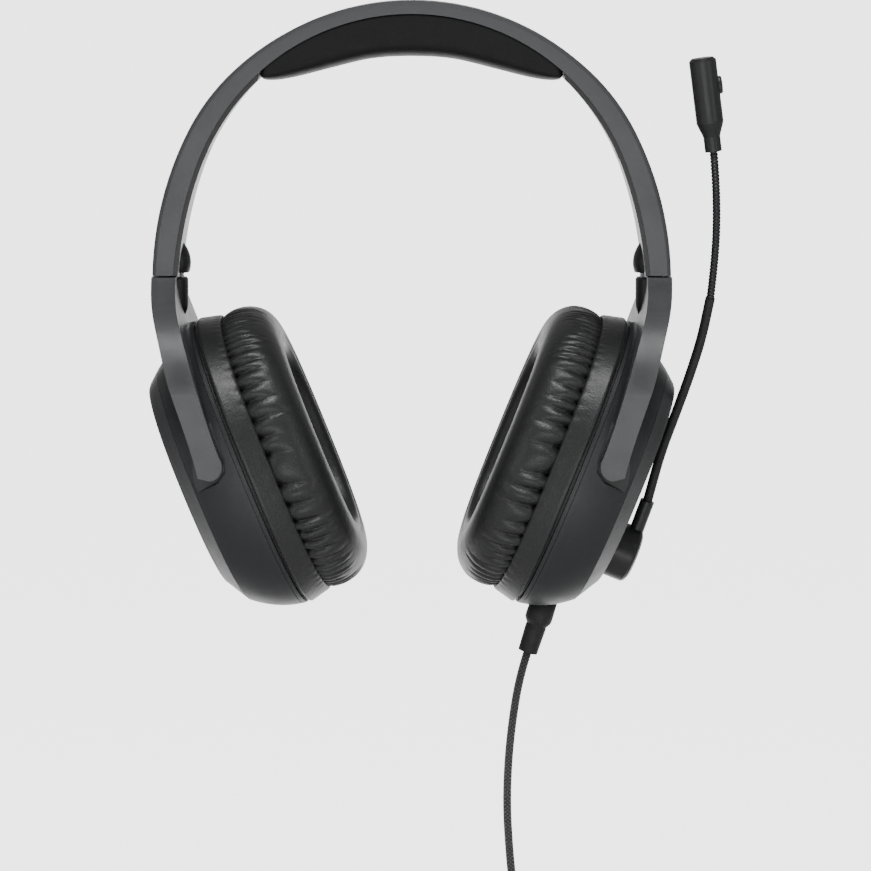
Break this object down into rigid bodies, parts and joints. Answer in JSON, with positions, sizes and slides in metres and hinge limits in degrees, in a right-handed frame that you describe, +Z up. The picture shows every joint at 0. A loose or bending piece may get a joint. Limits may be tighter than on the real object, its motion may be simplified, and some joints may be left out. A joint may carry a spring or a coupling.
{
  "type": "headset",
  "caption": "Wired over-ear headset with padded arched band, sliding and swivelling forks, tilting padded cups and a flip-down boom microphone on the left cup.",
  "frame": {"origin": "middle of the head pad's underside, where the crown of the head touches it", "axes": "+Z up, +X to the wearer's left, where the microphone and the cable are, -Y the way the wearer faces"},
  "size_m": [0.1877, 0.089, 0.368],
  "materials": {
    "satin_plastic": "fine moulded grain, satin",
    "cup_plastic": "fine moulded grain, satin",
    "dark_plastic": "satin",
    "inner_plastic": "plain",
    "steel": "bright",
    "magnet": "plated",
    "wire_jacket": "plain",
    "pad_leatherette": "fine grain",
    "leatherette": "fine grain with pleats",
    "speaker_cloth": "open weave",
    "board": "solder mask",
    "rubber": "matt",
    "gooseneck_metal": "ribbed, dark",
    "braid": "herringbone braid",
    "plug_metal": "polished"
  },
  "bodies": {
    "root": {"headband_shell": "satin_plastic", "left_band_liner": "dark_plastic", "right_band_liner": "dark_plastic", "headband_spring": "steel", "crossover_wire": "wire_jacket", "headband_pad": "pad_leatherette", "pad_plate": "inner_plastic", "left_rail_guide": "dark_plastic", "right_rail_guide": "dark_plastic", "headband_screws": "steel"},
    "left_slider": {"left_slider_rail": "steel", "left_swivel_pin": "steel"},
    "left_fork": {"left_yoke": "satin_plastic", "left_swivel_barrel": "dark_plastic", "left_fork_pins": "steel"},
    "left_cup": {"left_cup_shell": "cup_plastic", "left_cup_cap": "cup_plastic", "left_trim_ring": "cup_plastic", "left_baffle": "inner_plastic", "left_driver_frame": "inner_plastic", "left_driver_magnet": "magnet", "left_driver_cloth": "speaker_cloth", "left_cushion_ring": "inner_plastic", "left_cushion_skirt": "leatherette", "left_ear_cushion": "leatherette", "left_cup_screws": "steel", "audio_board": "board", "cable_grommet": "rubber", "cable_boot": "rubber", "cable_run": "braid", "cable_coil": "braid", "cable_tie": "rubber", "plug_body": "rubber", "plug_pin": "plug_metal"},
    "right_slider": {"right_slider_rail": "steel", "right_swivel_pin": "steel"},
    "right_fork": {"right_yoke": "satin_plastic", "right_swivel_barrel": "dark_plastic", "right_fork_pins": "steel"},
    "right_cup": {"right_cup_shell": "cup_plastic", "right_cup_cap": "cup_plastic", "right_trim_ring": "cup_plastic", "right_baffle": "inner_plastic", "right_driver_frame": "inner_plastic", "right_driver_magnet": "magnet", "right_driver_cloth": "speaker_cloth", "right_cushion_ring": "inner_plastic", "right_cushion_skirt": "leatherette", "right_ear_cushion": "leatherette", "right_cup_screws": "steel"},
    "boom": {"boom_hub": "dark_plastic", "boom_axle": "steel", "boom_socket": "dark_plastic", "boom_sleeve": "rubber"},
    "neck_lower": {"gooseneck_lower": "gooseneck_metal"},
    "neck_upper": {"gooseneck_upper": "gooseneck_metal"},
    "microphone": {"mic_housing": "dark_plastic", "mic_tip_cap": "dark_plastic", "mic_element": "magnet"}
  },
  "joints": [
    {"name": "left_slide", "type": "slide", "parent": "root", "child": "left_slider", "axis": [0.1461, 0, -0.9893], "range_m": [0, 0.022]},
    {"name": "left_swivel", "type": "hinge", "parent": "left_slider", "child": "left_fork", "pos_m": [0.079, 0, -0.08], "axis": [0, 0, 1], "range_deg": [-10, 10]},
    {"name": "left_tilt", "type": "hinge", "parent": "left_fork", "child": "left_cup", "pos_m": [0.06567, 0, -0.12857], "axis": [0, -1, 0], "range_deg": [-1.2, 10]},
    {"name": "right_slide", "type": "slide", "parent": "root", "child": "right_slider", "axis": [-0.1461, 0, -0.9893], "range_m": [0, 0.022]},
    {"name": "right_swivel", "type": "hinge", "parent": "right_slider", "child": "right_fork", "pos_m": [-0.079, 0, -0.08], "axis": [0, 0, 1], "range_deg": [-10, 10]},
    {"name": "right_tilt", "type": "hinge", "parent": "right_fork", "child": "right_cup", "pos_m": [-0.06567, 0, -0.12857], "axis": [0, 1, 0], "range_deg": [-1.2, 10]},
    {"name": "boom_rotate", "type": "hinge", "parent": "left_cup", "child": "boom", "pos_m": [0.06999, 0, -0.16591], "axis": [0.9272, 0, -0.3746], "range_deg": [-8, 120]},
    {"name": "neck_bend", "type": "hinge", "parent": "boom", "child": "neck_lower", "pos_m": [0.0974, -0.0196, -0.0792], "axis": [0, -1, 0], "range_deg": [-8, 8]},
    {"name": "neck_bend_middle", "type": "hinge", "parent": "neck_lower", "child": "neck_upper", "pos_m": [0.0989, -0.0232, -0.056], "axis": [0, -1, 0], "range_deg": [-8, 8]},
    {"name": "neck_bend_top", "type": "hinge", "parent": "neck_upper", "child": "microphone", "pos_m": [0.0976, -0.0259, -0.0316], "axis": [0, -1, 0], "range_deg": [-8, 8]}
  ],
  "couplings": [
    {"joint": "neck_bend_middle", "follows": "neck_bend", "ratio": 1},
    {"joint": "neck_bend_top", "follows": "neck_bend", "ratio": 1}
  ]
}
